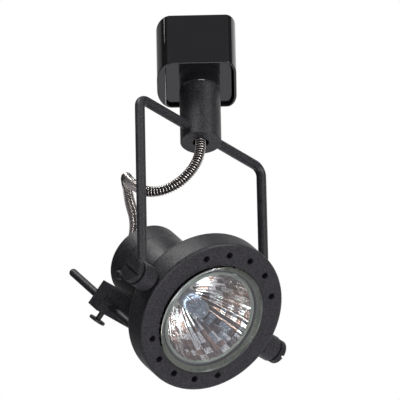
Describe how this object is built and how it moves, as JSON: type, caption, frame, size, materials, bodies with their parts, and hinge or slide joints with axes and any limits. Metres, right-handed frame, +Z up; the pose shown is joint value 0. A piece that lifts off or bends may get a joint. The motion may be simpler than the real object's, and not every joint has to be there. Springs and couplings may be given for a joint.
{
  "type": "track spotlight",
  "caption": "Track spotlight: moulded track adapter, swivel stem, wire yoke, tilting lamp ring with clear glass, and a sliding lampholder housing fed through a coiled steel sleeve.",
  "frame": {"origin": "centre of the adapter body's top face, on the swivel axis, where the track head leaves it", "axes": "+Z up the swivel axis into the track; +X to the right and +Y away from the viewer, square to the adapter's walls, with the release latch on -X"},
  "size_m": [0.1077, 0.1084, 0.2021],
  "materials": {
    "gloss_black": "polished black moulding",
    "black_plastic": "matt black moulding",
    "powder_coat": "fine-textured charcoal black powder coat",
    "bright_steel": "zinc-plated steel",
    "sleeve_steel": "bare coiled steel wire",
    "contact_brass": "sprung brass",
    "clear_glass": "clear, with a slightly green edge",
    "quartz": "clear quartz",
    "dichroic_mirror": "faceted coated glass mirror",
    "white_ceramic": "unglazed white ceramic",
    "seal_rubber": "translucent silicone",
    "filament_wire": "drawn tungsten wire"
  },
  "bodies": {
    "adapter": {"adapter_shell": "gloss_black", "adapter_base_plate": "gloss_black", "track_head": "black_plastic", "live_contact": "contact_brass", "neutral_contact": "contact_brass", "earth_contact": "contact_brass", "terminal_block": "black_plastic", "swivel_collar": "gloss_black", "latch_spring": "bright_steel"},
    "latch": {"release_latch": "gloss_black", "lock_bolt": "black_plastic"},
    "yoke": {"swivel_nipple": "bright_steel", "swivel_washer": "bright_steel", "swivel_nut": "bright_steel", "stem_tube": "powder_coat", "conduit_ferrule": "bright_steel", "left_arm": "powder_coat", "right_arm": "powder_coat", "left_boss": "powder_coat", "right_boss": "powder_coat", "left_pivot_washer": "black_plastic", "right_pivot_washer": "black_plastic", "spring_conduit": "sleeve_steel"},
    "head": {"front_ring": "powder_coat", "glass_gasket": "seal_rubber", "front_glass": "clear_glass", "left_guide_rod": "powder_coat", "right_guide_rod": "powder_coat"},
    "carrier": {"carrier_bar": "powder_coat", "saddle_screws": "bright_steel", "rear_housing": "powder_coat", "rear_cap": "powder_coat", "cap_gland": "black_plastic", "housing_side_screw": "powder_coat", "lamp_holder": "white_ceramic", "holder_contacts": "contact_brass", "holder_screws": "bright_steel", "lamp_reflector": "dichroic_mirror", "lamp_base": "white_ceramic", "lamp_pins": "bright_steel", "lamp_capsule": "quartz", "lamp_filament": "filament_wire"},
    "left_tilt_knob": {"left_tilt_screw": "powder_coat"},
    "right_tilt_knob": {"right_tilt_screw": "powder_coat"},
    "left_clamp_knob": {"left_clamp_screw": "powder_coat"},
    "right_clamp_knob": {"right_clamp_screw": "powder_coat"}
  },
  "joints": [
    {"name": "swivel", "type": "hinge", "parent": "adapter", "child": "yoke", "pos_m": [0, 0, -0.03], "axis": [0, 0, 1], "range_deg": [-170, 170]},
    {"name": "latch_slide", "type": "slide", "parent": "adapter", "child": "latch", "axis": [0, 0, -1], "range_m": [0, 0.003], "stiffness_N_per_m": 400, "springref_m": -0.003, "deforming": ["latch_spring"]},
    {"name": "tilt", "type": "hinge", "parent": "yoke", "child": "head", "pos_m": [0, 0, -0.1635], "axis": [0.6691, 0.7431, 0], "range_deg": [-51, 39], "deforming": ["spring_conduit"]},
    {"name": "carrier_slide", "type": "slide", "parent": "head", "child": "carrier", "axis": [-0.4677, 0.4211, 0.7771], "range_m": [0, 0.03], "deforming": ["spring_conduit"]},
    {"name": "left_tilt_screw_turn", "type": "hinge", "parent": "head", "child": "left_tilt_knob", "pos_m": [-0.03346, -0.03716, -0.1635], "axis": [-0.6691, -0.7431, 0], "range_deg": [0, 270]},
    {"name": "right_tilt_screw_turn", "type": "hinge", "parent": "head", "child": "right_tilt_knob", "pos_m": [0.03346, 0.03716, -0.1635], "axis": [0.6691, 0.7431, 0], "range_deg": [0, 270]},
    {"name": "left_clamp_screw_turn", "type": "hinge", "parent": "carrier", "child": "left_clamp_knob", "pos_m": [-0.05165, 0.0122, -0.15687], "axis": [-0.5775, 0.52, -0.6293], "range_deg": [0, 270]},
    {"name": "right_clamp_screw_turn", "type": "hinge", "parent": "carrier", "child": "right_clamp_knob", "pos_m": [-0.01753, 0.0501, -0.15687], "axis": [-0.5775, 0.52, -0.6293], "range_deg": [0, 270]}
  ]
}
